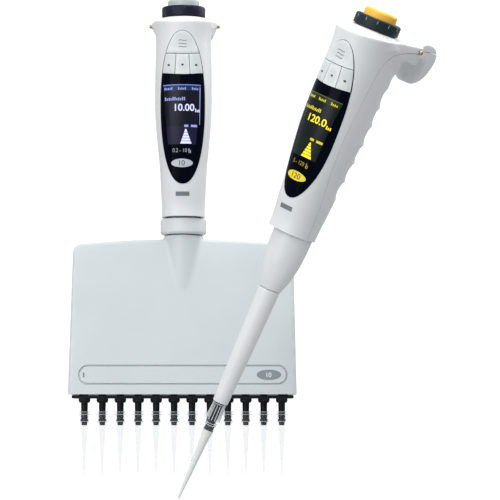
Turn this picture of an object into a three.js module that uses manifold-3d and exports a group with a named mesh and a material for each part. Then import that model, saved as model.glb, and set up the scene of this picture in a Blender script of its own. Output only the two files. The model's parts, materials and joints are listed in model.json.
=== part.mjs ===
// A pair of electronic pipettes: a twelve-channel one held upright by its finger hook, and a
// single-channel one with the same handle, leaning in front of it.
//
// Millimetres, +Z up, front towards -Y. The frame's origin is the flat seat under the hook of the
// twelve-channel pipette, where a stand's bar holds it. Each pipette is drawn in a local frame of
// its own: z along the shaft, 0 at the lower edge of the handle's shells, the shaft's axis at x = y = 0.

import * as THREE from "three";
import { mergeVertices } from "three/addons/utils/BufferGeometryUtils.js";
import Module from "manifold-3d";

const wasm = await Module();
wasm.setup();

// ---------------------------------------------------------------- driving dimensions

const GAP = 0.3; // clearance between neighbouring pieces
const WALL = 2; // shell thickness
const SIDES = 24; // sides of the handle's cross-section

// The handle's cross-sections: height, half-width, reach ahead of the shaft, reach behind it.
const HANDLE_SECTIONS = [
  [0, 10.8, 13.4, 9.7],
  [6, 10.9, 13.6, 10.1],
  [15, 11.4, 15.8, 11.0],
  [26, 12.0, 17.3, 11.6],
  [39, 13.3, 19.4, 12.2],
  [51, 14.2, 21.1, 12.6],
  [64, 14.4, 22.3, 12.9],
  [76, 14.2, 23.2, 12.9],
  [87, 13.9, 24.1, 12.8],
  [93, 14.1, 25.2, 12.8],
  [99, 14.6, 26.0, 12.8],
  [108, 14.6, 26.0, 12.8],
];
const SECTION_POWER = 2.35; // above 2 squares an ellipse up a little
const CAVITY_TOP = 93;
const FAR = 80; // cutting tools reach this far past the pieces

// The seam between the front and rear shells in the side view: [y, z] from the bottom up.
const SEAM = [
  [-3.4, -2], [-5.2, 15], [-9.6, 33], [-12.4, 50], [-11.8, 66], [-10.4, 82],
  [-7.5, 90], [-2, 95], [6, 98], [14, 99.6], [26, 101.4], [36, 102.2], [46, 102.4],
];
const SEAM_BEND = { start: 85, end: 97 }; // heights between which it turns from upright to level

// The head slopes down to the front. The wheel and button lean forward less than it does, on a collar.
const HEAD_SLOPE = THREE.MathUtils.degToRad(9);
const HEAD_FRONT = { y: -26, z: 96.6 };
const HEAD_BACK = 14;
const WHEEL_TILT = 3; // degrees
const WHEEL = { y: -5.6, z: 99, radius: 10.95, bore: 8.3, height: 5.4 };
const COLLAR = { foot: 14.5, depth: 3, top: 11.2, height: 1.9 };
const BUTTON = { radius: 7.9, height: 9.3, well: 5 };
const RIM = 1.2; // height of the bevel round the wheel and the button
const BUTTON_TRAVEL = 3.5;

// The finger hook: side view [y, z] from the handle's back round to its top.
const SEAT = { y: 26, z: 97, length: 9 };
const HOOK_SIDE = [
  [-2, 80], [11.5, 80], [13.4, 86], [16, 91.5], [SEAT.y - SEAT.length / 2, SEAT.z],
  [SEAT.y + SEAT.length / 2, SEAT.z], [33.2, 94.5], [35, 90], [36.1, 85.8], [37.6, 85.4],
  [39.4, 90], [40.4, 96], [40.2, 100.5], [38.4, 103.6], [34, 105.4], [26, 105.2], [12.8, 102.6], [-2, 100.4],
];
const HOOK_PLAN = [[-4, 14.2], [6, 16.4], [11, 16.9], [14, 16], [19, 12.6], [26, 9.8], [34, 8.9], [42, 8.9]];
const WING_SKIRT = [[80, 13.2], [91, 13.9], [95, 14.8], [98.5, 16.9], [108, 16.9]];
const TAIL_LEAF = [[85.4, 1.6], [86.6, 4.2], [90, 6.6], [95, 8.3], [100, 8.9], [108, 8.9]];
const TAIL_START = 31.5;
const ROOT = { radius: 13.7, y: 2.6, back: 27.5, top: 93.5 }; // rounds the hook's foot into the back of the grip

const CONTACT = { y: 11, z: 99.8, radius: 1.2, reach: 18.4, root: 12 };

// Finger grooves down the back of the grip.
const GROOVES = { count: 6, pitch: 9.4, top: 74, depth: 0.6 };

// The oval in the front that holds the window and the keys.
const OVAL = { z: 55.5, halfWidth: 11.2, up: 36.2, down: 39.9, power: 2.2 };
const WINDOW_TOP = 70.7;
const WINDOW_DEPTH = 1.6;
const KEY_ROW_TOP = 80.8;
const KEY_DIVIDER = 3.4;
const KEY_PROUD = 0.2;
const KEY_DEPTH = 1.8;

const MOTOR = { radius: 7.4, bottom: 40, top: 62, bore: 2.1 };
const SCREW = { radius: 1.6, bottom: 9, top: 63.5 };
const BATTERY = { width: 14, depth: 11, y: 1.2, bottom: 66, top: 91 };
const BOARD = { width: 15, thickness: 1.6, y: -9.3, bottom: 24, top: 88 };
const DISPLAY = { width: 18, thickness: 1.8, height: 33, y: -13.7, z: 51 };

// Twelve-channel lower part.
const CHANNELS = 12;
const PITCH = 9;
const RING = { radius: 11.6, top: -0.7, bottom: -8.7, bore: 5.2, spigot: 7.2, spigotTop: 8 };
const BLOCK = {
  top: -11.1, shoulder: -13.4, bottom: -89, halfTop: 55.3, halfBottom: 56.9, corner: 4, arch: 26, sag: 0.5,
};
const BLOCK_DEPTHS = [[-9, 4.8], [-15, 6.4], [-22, 7.6], [-32, 8.8], [-44, 10.1], [-64, 12], [-92, 14.4]];
const NECK = { radius: 9.9, foot: 9.4, bottom: -46 };
const CONE_BAR = { top: -79, bottom: -84, halfLength: 53.6, halfDepth: 9 };
const CONE = { root: 1.85, seal: 1.6, sealBottom: -102.7, tip: 1.3, bottom: -104.4, bore: 0.85 };
const PLATE = { top: -41, bottom: -45, halfLength: 52, halfDepth: 6, stem: 2.2, stemTop: 8.4, rod: 0.5, rodBottom: -76 };
const COMB = { top: -89.3, bottom: -91, halfLength: 55.4, halfDepth: 7.5, collar: 2.95, collarBottom: -93.1 };
const COMB_POST = { x: 51.5, y: 5.5, radius: 1.1, top: -68 };
const OVERLAP = 0.5; // joined solids run this far into each other
const SMALL_TIP = [
  [2.2, -97.5], [2.95, -97.5], [2.95, -99], [2.5, -102.5], [2.1, -105],
  [0.95, -120.7], [0.42, -129.1], [0.22, -129.1], [0.6, -120.7], [1.65, -105], [2.15, -102.5],
];

// Single-channel lower part: profiles as [radius, z].
const BARREL = [
  [7.2, 8], [7.2, -0.3], [9.5, -0.3], [9.45, -6], [8.9, -13.6], [7.6, -20.7], [6.2, -25.4], [5.3, -28.3],
  [4.4, -28.3], [4.4, -24], [5.6, -20], [7.3, -12], [7.7, -7], [6.1, -6], [6.1, 8],
];
const SLEEVE = [
  [4.1, -14], [4.1, -28.6], [5.2, -28.6], [4.9, -42], [4.3, -66], [3.66, -86.9],
  [2.9, -86.9], [3.5, -66], [3.5, -28], [3.5, -14],
];
const NOZZLE = [
  [1.4, -9], [7.3, -9], [7.3, -10.8], [3.1, -10.8], [3.1, -66], [2.5, -86], [1.85, -92], [1.75, -98.6],
  [1.55, -98.9], [1.55, -101.2], [1.4, -102.4], [0.7, -102.4], [0.7, -80], [1.4, -78],
];
const NOZZLE_SEAL = [[1.85, -99.1], [2.05, -99.6], [2.05, -100.6], [1.85, -101.1]];
const PISTON = { radius: 1.05, top: 8.4, bottom: -60, head: 2.6, headHeight: 2.4 };
const ROD = { x: 0, y: 3.8, radius: 0.7, bottom: -13.7, top: 30 };
const BIG_TIP = [
  [2.75, -87.4], [3.3, -87.4], [3.25, -90], [2.9, -93.5], [2.6, -97], [2.6, -101.5], [2.1, -105],
  [1.06, -127], [0.5, -137.3], [0.25, -137.3], [0.7, -127], [1.7, -105], [2.3, -101.5], [2.3, -97], [2.5, -93.5],
];

// Where the leaning pipette's local origin lies in the upright pipette's frame, and how it is turned.
const SINGLE_PLACE = new THREE.Vector3(54, -85.5, -15.1);
const SINGLE_TURN = { aboutShaft: -32.2, forward: 10.2, sideways: 23.7 };

// ---------------------------------------------------------------- materials

function finish(colour, roughness, metalness = 0) {
  return () => new THREE.MeshStandardMaterial({ color: colour, roughness, metalness });
}

const whitePlastic = finish(0xe9ecef, 0.42);
const greyPlastic = finish(0xd3dadf, 0.45);
const keyPlastic = finish(0xdfe5e8, 0.5);
const windowPlastic = finish(0x0a0b14, 0.12);
const navyRubber = finish(0x23234b, 0.55);
const slateRubber = finish(0x2d3c46, 0.55);
const yellowPlastic = finish(0xf3b92e, 0.4);
const paleButton = finish(0xd7e1e1, 0.4);
const blackPlastic = finish(0x141416, 0.45);
const darkRubber = finish(0x0c0c0d, 0.7);
const brass = finish(0xc9a24a, 0.3, 0.9);
const steel = finish(0x9ea3a6, 0.35, 0.9);
const boardGreen = finish(0x1d5b3a, 0.5);
const cellBlue = finish(0x30507c, 0.45);
const clearTip = finish(0xe8eef0, 0.1);
const frostedTip = finish(0xc9ccc9, 0.35);

// ---------------------------------------------------------------- solids

// A closed three.js geometry as a solid, with shared corners merged and faces turned outwards.
function solidOf(geometry) {
  geometry.deleteAttribute("normal");
  geometry.deleteAttribute("uv");
  const merged = mergeVertices(geometry, 1e-4);
  const points = merged.getAttribute("position").array;
  const corners = merged.getIndex().array;
  const faces = [];
  let volume = 0;
  const at = (i) => new THREE.Vector3().fromArray(points, 3 * i);
  for (let i = 0; i < corners.length; i += 3) {
    const [a, b, c] = [corners[i], corners[i + 1], corners[i + 2]];
    if (a === b || b === c || c === a) continue;
    faces.push(a, b, c);
    volume += at(a).dot(at(b).cross(at(c)));
  }
  if (volume < 0) faces.reverse();
  const mesh = { numProp: 3, vertProperties: new Float32Array(points), triVerts: new Uint32Array(faces) };
  return new wasm.Manifold(new wasm.Mesh(mesh));
}

function outline(points) {
  return new THREE.Shape(points.map(([u, v]) => new THREE.Vector2(u, v)));
}

function extruded(shape, depth) {
  return new THREE.ExtrudeGeometry(shape, { depth, bevelEnabled: false, curveSegments: 6 });
}

// An outline in the side view, [y, z], given its width along x.
function alongX(points, from, to) {
  const geometry = extruded(outline(points), to - from);
  const [x, y, z] = [new THREE.Vector3(1, 0, 0), new THREE.Vector3(0, 1, 0), new THREE.Vector3(0, 0, 1)];
  geometry.applyMatrix4(new THREE.Matrix4().makeBasis(y, z, x));
  return solidOf(geometry.translate(from, 0, 0));
}

// An outline in the front view, [x, z], given its depth along y.
function alongY(points, from, to) {
  const geometry = extruded(outline(points), to - from);
  geometry.rotateX(Math.PI / 2);
  return solidOf(geometry.translate(0, to, 0));
}

// An outline in plan, [x, y], given its height along z.
function alongZ(points, from, to) {
  return solidOf(extruded(outline(points), to - from).translate(0, 0, from));
}

// A profile of [radius, z] points turned round the z axis; it closes on itself.
function turned(profile, sides, { x = 0, y = 0 } = {}) {
  const points = [...profile, profile[0]].map(([radius, z]) => new THREE.Vector2(radius, z));
  return solidOf(new THREE.LatheGeometry(points, sides).rotateX(Math.PI / 2).translate(x, y, 0));
}

function rod(radius, bottom, top, sides, place) {
  return turned([[0, bottom], [radius, bottom], [radius, top], [0, top]], sides, place);
}

function block(width, depth, bottom, top, y = 0) {
  const geometry = new THREE.BoxGeometry(width, depth, top - bottom);
  return solidOf(geometry.translate(0, y, (top + bottom) / 2));
}

// A list of [position, value] pairs mirrored about value = 0, as a closed outline.
function mirrored(pairs, swap) {
  const side = pairs.map(([at, value]) => [value, at]);
  const both = [...side, ...side.map(([u, v]) => [-u, v]).reverse()];
  return swap ? both.map(([u, v]) => [v, u]) : both;
}

function joined(solids) {
  return solids.reduce((all, solid) => all.add(solid));
}

// ---------------------------------------------------------------- the handle's outer form

// A rounded ring of points: a superellipse, wider than deep, with its middle between front and back.
function sectionRing([z, halfWidth, ahead, behind], grow) {
  const ring = [];
  const middle = (behind - ahead) / 2;
  const halfDepth = (behind + ahead) / 2 + grow;
  for (let i = 0; i < SIDES; i++) {
    const angle = (2 * Math.PI * (i + 0.5)) / SIDES;
    const across = Math.sign(Math.cos(angle)) * Math.abs(Math.cos(angle)) ** (2 / SECTION_POWER);
    const along = Math.sign(Math.sin(angle)) * Math.abs(Math.sin(angle)) ** (2 / SECTION_POWER);
    ring.push([(halfWidth + grow) * across, middle + halfDepth * along, z]);
  }
  return ring;
}

function loft(rings) {
  const sides = rings[0].length;
  const positions = rings.flat(2);
  const index = [];
  for (let level = 0; level + 1 < rings.length; level++) {
    for (let i = 0; i < sides; i++) {
      const [a, b] = [level * sides + i, level * sides + ((i + 1) % sides)];
      index.push(a, b, b + sides, a, b + sides, a + sides);
    }
  }
  const last = (rings.length - 1) * sides;
  for (let i = 1; i + 1 < sides; i++) {
    index.push(0, i + 1, i);
    index.push(last, last + i, last + i + 1);
  }
  const geometry = new THREE.BufferGeometry();
  geometry.setAttribute("position", new THREE.Float32BufferAttribute(positions, 3));
  geometry.setIndex(index);
  return solidOf(geometry);
}

function handleForm(grow, bottom = 0, top = HANDLE_SECTIONS.at(-1)[0]) {
  const inside = HANDLE_SECTIONS.filter(([z]) => z > bottom && z < top);
  const sections = [sectionAt(bottom), ...inside, sectionAt(top)];
  return loft(sections.map((section) => sectionRing(section, grow)));
}

function sectionAt(z) {
  const last = HANDLE_SECTIONS.length - 1;
  if (z <= HANDLE_SECTIONS[0][0]) return [z, ...HANDLE_SECTIONS[0].slice(1)];
  if (z >= HANDLE_SECTIONS[last][0]) return [z, ...HANDLE_SECTIONS[last].slice(1)];
  const upper = HANDLE_SECTIONS.findIndex(([height]) => height >= z);
  const [below, above] = [HANDLE_SECTIONS[upper - 1], HANDLE_SECTIONS[upper]];
  const share = (z - below[0]) / (above[0] - below[0]);
  return below.map((value, i) => value + share * (above[i] - value));
}

// Height of the sloping head plane above a given y.
function headHeight(y) {
  return HEAD_FRONT.z + (y - HEAD_FRONT.y) * Math.tan(HEAD_SLOPE);
}

// Turns a solid drawn upright round z = 0 into the wheel's tilted place on the head.
function onHead(solid) {
  return solid.rotate([WHEEL_TILT, 0, 0]).translate([0, WHEEL.y, WHEEL.z]);
}

function hookForm() {
  const side = alongX(HOOK_SIDE, -FAR, FAR);
  const plan = alongZ(mirrored(HOOK_PLAN), 0, 2 * FAR);
  const arm = alongY(mirrored(WING_SKIRT), -FAR, TAIL_START + OVERLAP);
  const tail = alongY(mirrored(TAIL_LEAF), TAIL_START, FAR);
  const hook = side.intersect(plan).intersect(arm.add(tail));
  const root = rod(ROOT.radius, 0, ROOT.top, 28, { y: ROOT.y });
  const outside = block(2 * FAR, 2 * FAR, 0, ROOT.top, ROOT.back - FAR);
  return hook.subtract(outside.subtract(root));
}

// The oval in the front view, drawn in by an inset all round.
function ovalOutline(inset) {
  const points = [];
  const steps = 36;
  for (let i = 0; i < steps; i++) {
    const angle = (2 * Math.PI * i) / steps;
    const [across, up] = [Math.cos(angle), Math.sin(angle)];
    const reach = (up > 0 ? OVAL.up : OVAL.down) - inset;
    points.push([
      (OVAL.halfWidth - inset) * Math.sign(across) * Math.abs(across) ** (2 / OVAL.power),
      OVAL.z + reach * Math.sign(up) * Math.abs(up) ** (2 / OVAL.power),
    ]);
  }
  return points;
}

// ---------------------------------------------------------------- pieces shared by both handles

function handleShells() {
  const plane = [[-FAR, headHeight(-FAR)], [HEAD_BACK, headHeight(HEAD_BACK)]];
  const headCut = [...plane, [HEAD_BACK, 2 * FAR], [-FAR, 2 * FAR]];
  const { foot, depth, top, height } = COLLAR;
  const collar = onHead(turned([[0, -depth], [foot, -depth], [top, height], [0, height]], 32));
  const body = handleForm(0).subtract(alongX(headCut, -FAR, FAR));
  const cavity = handleForm(-WALL, -1, CAVITY_TOP);
  const well = onHead(rod(WHEEL.bore, height - BUTTON.well, FAR, 24));
  let solid = joined([body, hookForm(), collar]).subtract(cavity).subtract(well);
  for (let i = 0; i < GROOVES.count; i++) {
    solid = solid.subtract(gripGroove(GROOVES.top - i * GROOVES.pitch));
  }
  const ahead = [...SEAM, [FAR, 2 * FAR], [-FAR, 2 * FAR], [-FAR, SEAM[0][1]]];
  const shifted = SEAM.map(([y, z]) => [z < SEAM_BEND.end ? y + GAP : y, z > SEAM_BEND.start ? z - GAP : z]);
  const behind = [...shifted, [FAR, SEAM.at(-1)[1] - GAP], [FAR, SEAM[0][1]]];
  const opening = alongY(ovalOutline(0), -FAR, BOARD.y + GAP);
  return {
    front: solid.intersect(alongX(ahead, -FAR, FAR)).subtract(opening),
    rear: solid.intersect(alongX(behind, -FAR, FAR)),
  };
}

function gripGroove(z) {
  const radius = ((GROOVES.pitch / 2) ** 2 + GROOVES.depth ** 2) / (2 * GROOVES.depth);
  const centre = sectionAt(z)[3] - GROOVES.depth + radius;
  const points = [];
  const reach = Math.asin(GROOVES.pitch / 2 / radius) * 1.6;
  const steps = 6;
  for (let i = 0; i <= steps; i++) {
    const angle = -reach + (2 * reach * i) / steps;
    points.push([centre - radius * Math.cos(angle), z + radius * Math.sin(angle)]);
  }
  return alongX(points, -FAR, FAR);
}

// A piece of the handle's front skin inside the oval, between two heights.
function frontSlab(proud, depth, bottom, top) {
  const skin = handleForm(proud).subtract(handleForm(proud - depth, -1));
  return skin.intersect(alongY(ovalOutline(GAP), -FAR, BOARD.y)).intersect(block(FAR, FAR, bottom, top));
}

function keySolids() {
  const half = GAP / 2;
  const row = frontSlab(KEY_PROUD, KEY_DEPTH, WINDOW_TOP + half, KEY_ROW_TOP - half);
  const cut = (from, to) => row.intersect(block(to - from, FAR, 0, 2 * FAR).translate([(from + to) / 2, 0, 0]));
  return {
    eject: frontSlab(KEY_PROUD, KEY_DEPTH, KEY_ROW_TOP + half, CAVITY_TOP),
    left: cut(-FAR, -KEY_DIVIDER - half),
    middle: cut(-KEY_DIVIDER + half, KEY_DIVIDER - half),
    right: cut(KEY_DIVIDER + half, FAR),
  };
}

function wheelSolid() {
  const low = COLLAR.height + GAP;
  const high = low + WHEEL.height;
  const profile = [
    [WHEEL.bore + GAP, low], [WHEEL.radius, low], [WHEEL.radius, high - RIM],
    [WHEEL.radius - RIM, high], [WHEEL.bore + GAP, high],
  ];
  return onHead(turned(profile, 26));
}

function buttonSolid() {
  const { radius, height, well } = BUTTON;
  const low = COLLAR.height - well + BUTTON_TRAVEL + GAP;
  const high = COLLAR.height + height;
  return onHead(turned([[0, low], [radius, low], [radius, high - RIM], [radius - RIM, high], [0, high]], 20));
}

function contactSolid(side) {
  const length = CONTACT.reach - CONTACT.root;
  const pin = rod(CONTACT.radius, 0, length, 12).rotate([0, 90, 0]);
  const placed = pin.translate([CONTACT.root, CONTACT.y, CONTACT.z]);
  return side > 0 ? placed : placed.mirror([1, 0, 0]);
}

function displayModule() {
  const { width, thickness, height, y, z } = DISPLAY;
  const [low, high] = [z - height / 2, z + height / 2];
  const slope = Math.atan2(sectionAt(high)[2] - sectionAt(low)[2], height);
  const geometry = new THREE.BoxGeometry(width, thickness, height).rotateX(slope);
  return solidOf(geometry.translate(0, y, z));
}

// ---------------------------------------------------------------- twelve-channel lower part

function channelPlaces() {
  return Array.from({ length: CHANNELS }, (_, i) => (i - (CHANNELS - 1) / 2) * PITCH);
}

function blockForm(inset, bottom) {
  const front = outlineOfBlock(inset, bottom);
  const side = mirrored(BLOCK_DEPTHS.map(([z, depth]) => [z - inset, depth - inset]), false);
  const neck = [[0, NECK.bottom], [NECK.foot - inset, NECK.bottom], [NECK.radius - inset, RING.bottom - GAP]];
  const wedge = alongY(front, -FAR, FAR).intersect(alongX(side, -FAR, FAR));
  return wedge.add(turned([...neck, [0, RING.bottom - GAP]], 24));
}

// The front view of the block: a slightly arched top with round corners, and sides that spread downwards.
function outlineOfBlock(inset, bottom) {
  const points = [[-(BLOCK.halfBottom - inset), bottom], [BLOCK.halfBottom - inset, bottom]];
  const corner = { x: BLOCK.halfTop - BLOCK.corner, z: BLOCK.shoulder - BLOCK.corner, r: BLOCK.corner - inset / 2 };
  const steps = 4;
  for (let i = 0; i <= steps; i++) {
    const angle = (Math.PI / 2) * (i / steps);
    points.push([corner.x + corner.r * Math.cos(angle), corner.z + corner.r * Math.sin(angle)]);
  }
  const { arch, sag, top } = BLOCK;
  points.push([arch, top - sag - inset], [0, top - inset], [-arch, top - sag - inset]);
  for (let i = steps; i >= 0; i--) {
    const angle = (Math.PI / 2) * (i / steps);
    points.push([-corner.x - corner.r * Math.cos(angle), corner.z + corner.r * Math.sin(angle)]);
  }
  return points;
}

function blockCovers() {
  const hollow = blockForm(WALL, BLOCK.bottom - WALL).add(rod(RING.bore, NECK.bottom, 0, 20));
  const solid = blockForm(0, BLOCK.bottom).subtract(hollow);
  const half = (side) => block(2 * FAR, FAR, -2 * FAR, FAR, (side * (FAR + GAP)) / 2);
  return { front: solid.intersect(half(-1)), rear: solid.intersect(half(1)) };
}

function couplingRing() {
  const { radius, top, bottom, bore, spigot, spigotTop } = RING;
  const edge = 0.6;
  return turned([
    [bore, bottom], [radius - edge, bottom], [radius, bottom + edge], [radius, top - edge], [radius - edge, top],
    [spigot, top], [spigot, spigotTop], [bore, spigotTop],
  ], 24);
}

function coneBar() {
  const { top, bottom, halfLength, halfDepth } = CONE_BAR;
  const bar = block(2 * halfLength, 2 * halfDepth, bottom, top);
  const cones = channelPlaces().map((x) => turned([
    [0, bottom + OVERLAP], [CONE.root, bottom + OVERLAP], [CONE.seal, CONE.sealBottom], [CONE.tip, CONE.bottom],
    [0, CONE.bottom],
  ], 8, { x }));
  const bores = channelPlaces().map((x) => rod(CONE.bore, -2 * FAR, 0, 6, { x }));
  return joined([bar, ...cones]).subtract(joined(bores)).subtract(joined(combPosts(COMB_POST.radius + GAP)));
}

function pistonPlate() {
  const plate = block(2 * PLATE.halfLength, 2 * PLATE.halfDepth, PLATE.bottom, PLATE.top);
  const stem = rod(PLATE.stem, PLATE.top - OVERLAP, PLATE.stemTop, 12);
  const rods = channelPlaces().map((x) => rod(PLATE.rod, PLATE.rodBottom, PLATE.bottom + OVERLAP, 6, { x }));
  return joined([plate, stem, ...rods]);
}

function combPosts(radius) {
  const { x, y, top } = COMB_POST;
  return [-1, 1].map((side) => rod(radius, COMB.top - OVERLAP, top, 8, { x: side * x, y }));
}

function ejectorComb() {
  const bar = block(2 * COMB.halfLength, 2 * COMB.halfDepth, COMB.bottom, COMB.top);
  const collars = channelPlaces().map((x) => rod(COMB.collar, COMB.collarBottom, COMB.bottom + OVERLAP, 10, { x }));
  const bores = channelPlaces().map((x) => rod(CONE.root + GAP, -2 * FAR, 0, 8, { x }));
  return joined([bar, ...collars, ...combPosts(COMB_POST.radius)]).subtract(joined(bores));
}

// ---------------------------------------------------------------- the assembly

const set = new THREE.Group();

function addPiece(group, name, solid, material) {
  const mesh = solid.getMesh();
  const geometry = new THREE.BufferGeometry();
  geometry.setAttribute("position", new THREE.BufferAttribute(new Float32Array(mesh.vertProperties), 3));
  geometry.setIndex(new THREE.BufferAttribute(new Uint32Array(mesh.triVerts), 1));
  geometry.computeVertexNormals();
  const piece = new THREE.Mesh(geometry, material());
  piece.name = name;
  group.add(piece);
}

function addHandle(group, prefix, wheelFinish, buttonFinish) {
  const add = (name, solid, material) => addPiece(group, `${prefix}_${name}`, solid, material);
  const shells = handleShells();
  const keys = keySolids();
  const pockets = joined([contactPocket(-1), contactPocket(1)]);
  add("front_shell", shells.front.subtract(pockets), whitePlastic);
  add("rear_shell", shells.rear.subtract(pockets), whitePlastic);
  add("display_window", frontSlab(0, WINDOW_DEPTH, 0, WINDOW_TOP - GAP / 2), windowPlastic);
  add("display_module", displayModule(), steel);
  add("circuit_board", block(BOARD.width, BOARD.thickness, BOARD.bottom, BOARD.top, BOARD.y), boardGreen);
  add("battery", block(BATTERY.width, BATTERY.depth, BATTERY.bottom, BATTERY.top, BATTERY.y), cellBlue);
  add("drive_motor", turned([
    [MOTOR.bore, MOTOR.bottom], [MOTOR.radius, MOTOR.bottom], [MOTOR.radius, MOTOR.top], [MOTOR.bore, MOTOR.top],
  ], 20), steel);
  add("lead_screw", rod(SCREW.radius, SCREW.bottom, SCREW.top, 10), steel);
  add("charging_contact_left", contactSolid(-1), brass);
  add("charging_contact_right", contactSolid(1), brass);
  add("adjustment_wheel", wheelSolid(), wheelFinish);
  add("operating_button", buttonSolid(), buttonFinish);
  add("eject_key", keys.eject, keyPlastic);
  add("soft_key_left", keys.left, keyPlastic);
  add("soft_key_middle", keys.middle, keyPlastic);
  add("soft_key_right", keys.right, keyPlastic);
}

// The socket in the wing that a charging contact is pressed into.
function contactPocket(side) {
  const pin = rod(CONTACT.radius + GAP, 0, CONTACT.reach, 12).rotate([0, 90, 0]);
  const placed = pin.translate([CONTACT.root - GAP, CONTACT.y, CONTACT.z]);
  return side > 0 ? placed : placed.mirror([1, 0, 0]);
}

const multi = new THREE.Group();
multi.position.set(0, -SEAT.y, -SEAT.z);
set.add(multi);
addHandle(multi, "multi", navyRubber, paleButton);
const covers = blockCovers();
addPiece(multi, "multi_coupling_ring", couplingRing(), greyPlastic);
addPiece(multi, "multi_block_front_cover", covers.front, greyPlastic);
addPiece(multi, "multi_block_rear_cover", covers.rear, greyPlastic);
addPiece(multi, "multi_piston_plate", pistonPlate(), steel);
addPiece(multi, "multi_cone_bar", coneBar(), blackPlastic);
addPiece(multi, "multi_ejector_comb", ejectorComb(), blackPlastic);
channelPlaces().forEach((x, i) => {
  const number = String(i + 1).padStart(2, "0");
  addPiece(multi, `multi_tip_${number}`, turned(SMALL_TIP, 8, { x }), clearTip);
});

const single = new THREE.Group();
single.position.copy(SINGLE_PLACE).add(multi.position);
single.rotation.set(
  THREE.MathUtils.degToRad(SINGLE_TURN.forward),
  THREE.MathUtils.degToRad(SINGLE_TURN.sideways),
  THREE.MathUtils.degToRad(SINGLE_TURN.aboutShaft),
  "YXZ",
);
set.add(single);
addHandle(single, "single", slateRubber, yellowPlastic);
const ejectorRod = rod(ROD.radius, ROD.bottom, ROD.top, 8, ROD);
const rodHole = rod(ROD.radius + GAP, -12, -8, 8, ROD);
addPiece(single, "single_barrel", turned(BARREL, 22), whitePlastic);
addPiece(single, "single_nozzle", turned(NOZZLE, 14).subtract(rodHole), blackPlastic);
addPiece(single, "single_nozzle_seal", turned(NOZZLE_SEAL, 12), darkRubber);
addPiece(single, "single_piston", joined([
  rod(PISTON.radius, PISTON.bottom, PISTON.top, 10),
  rod(PISTON.head, PISTON.top - PISTON.headHeight, PISTON.top, 12),
]), steel);
addPiece(single, "single_ejector_sleeve", turned(SLEEVE, 20), whitePlastic);
addPiece(single, "single_ejector_rod", ejectorRod, steel);
addPiece(single, "single_tip", turned(BIG_TIP, 12), frostedTip);

export default set;
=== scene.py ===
# %% [markdown]
# A set of two electronic pipettes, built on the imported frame.
# One is a twelve-channel pipette that hangs upright by its finger hook. The other has the same handle with
# a single nozzle, and leans in front of it. The frame brings every mechanical piece at its true size; each
# one that shows is remodelled here with the fine surface that a moulded part has.

# %% Load the frame
import contextlib
import json
import math

import bmesh
import bpy
from mathutils import Matrix, Vector


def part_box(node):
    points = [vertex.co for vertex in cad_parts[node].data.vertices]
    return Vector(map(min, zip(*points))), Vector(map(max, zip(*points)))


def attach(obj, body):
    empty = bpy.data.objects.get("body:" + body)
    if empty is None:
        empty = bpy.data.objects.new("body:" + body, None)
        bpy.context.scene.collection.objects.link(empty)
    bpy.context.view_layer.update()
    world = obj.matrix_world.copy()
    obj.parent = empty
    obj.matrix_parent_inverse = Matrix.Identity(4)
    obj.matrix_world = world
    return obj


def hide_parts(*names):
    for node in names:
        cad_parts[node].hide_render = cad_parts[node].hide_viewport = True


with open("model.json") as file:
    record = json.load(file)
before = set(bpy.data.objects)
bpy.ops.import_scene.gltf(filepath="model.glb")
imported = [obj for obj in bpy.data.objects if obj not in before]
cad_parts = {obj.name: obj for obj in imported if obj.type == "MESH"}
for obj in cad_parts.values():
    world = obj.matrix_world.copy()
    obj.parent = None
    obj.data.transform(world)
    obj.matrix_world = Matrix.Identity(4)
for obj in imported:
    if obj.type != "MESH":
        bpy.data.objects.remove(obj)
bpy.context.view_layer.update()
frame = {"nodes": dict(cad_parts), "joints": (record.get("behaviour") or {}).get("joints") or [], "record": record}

# %% [markdown]
# The bench. Pieces are modelled in millimetres round the shaft's axis, with z = 0 at the lower edge of the
# handle's shells, as a workshop drawing has them. Two matrices then carry a finished mesh into the frame:
# one for the upright pipette and one for the leaning one. Both are worked out from the frame itself. The
# shells' lower edge and the swivel's axis give the first. For the second, the plunger runs along the shaft
# and the wheel's axis is tilted forward from it, so the two directions fix how the pipette is turned.

# %% Where each pipette stands
MM = 0.001
WHEEL_TILT = math.radians(3)
joint = {j["name"]: j for j in frame["joints"]}


def axes_of(pipette):
    up = -Vector(joint[f"{pipette}_plunger_stroke"]["axis"]).normalized()
    wheel = Vector(joint[f"{pipette}_wheel_turn"]["axis"]).normalized()
    back = (up * math.cos(WHEEL_TILT) - wheel).normalized()
    back = (back - up * back.dot(up)).normalized()
    return Matrix((back.cross(up), back, up)).transposed()


def place_of(pipette):
    turn = axes_of(pipette)
    wheel_on_bench = place_upright.inverted() @ Vector(joint["multi_wheel_turn"]["pos_m"])
    corner = Vector(joint[f"{pipette}_wheel_turn"]["pos_m"]) - turn @ (wheel_on_bench * MM)
    return Matrix.Translation(corner) @ turn.to_4x4() @ Matrix.Scale(MM, 4)


swivel = Vector(joint["multi_block_swivel"]["pos_m"])
shell_foot = Vector((swivel.x, swivel.y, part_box("multi_front_shell")[0].z))
place_upright = Matrix.Translation(shell_foot) @ Matrix.Scale(MM, 4)
PLACE = {"multi": place_upright, "single": place_of("single")}
WHEEL_SPOT = place_upright.inverted() @ Vector(joint["multi_wheel_turn"]["pos_m"])
print("wheel on the bench, mm:", [round(v, 2) for v in WHEEL_SPOT])
print("leaning pipette's foot, mm:", [round(v / MM, 1) for v in PLACE["single"].translation])


# %% [markdown]
# The hand tools. Everything below is done as by hand in the viewport: a primitive is added, taken into edit
# mode, extruded, scaled and bevelled, and its modifiers are applied. These helpers only save repeating the
# clicks. Everything is deselected before each step, since an operator works on all that is selected.

# %% Hand tools
def only(*pieces):
    bpy.ops.object.select_all(action="DESELECT")
    for piece in pieces:
        piece.select_set(True)
    bpy.context.view_layer.objects.active = pieces[-1]


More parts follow.
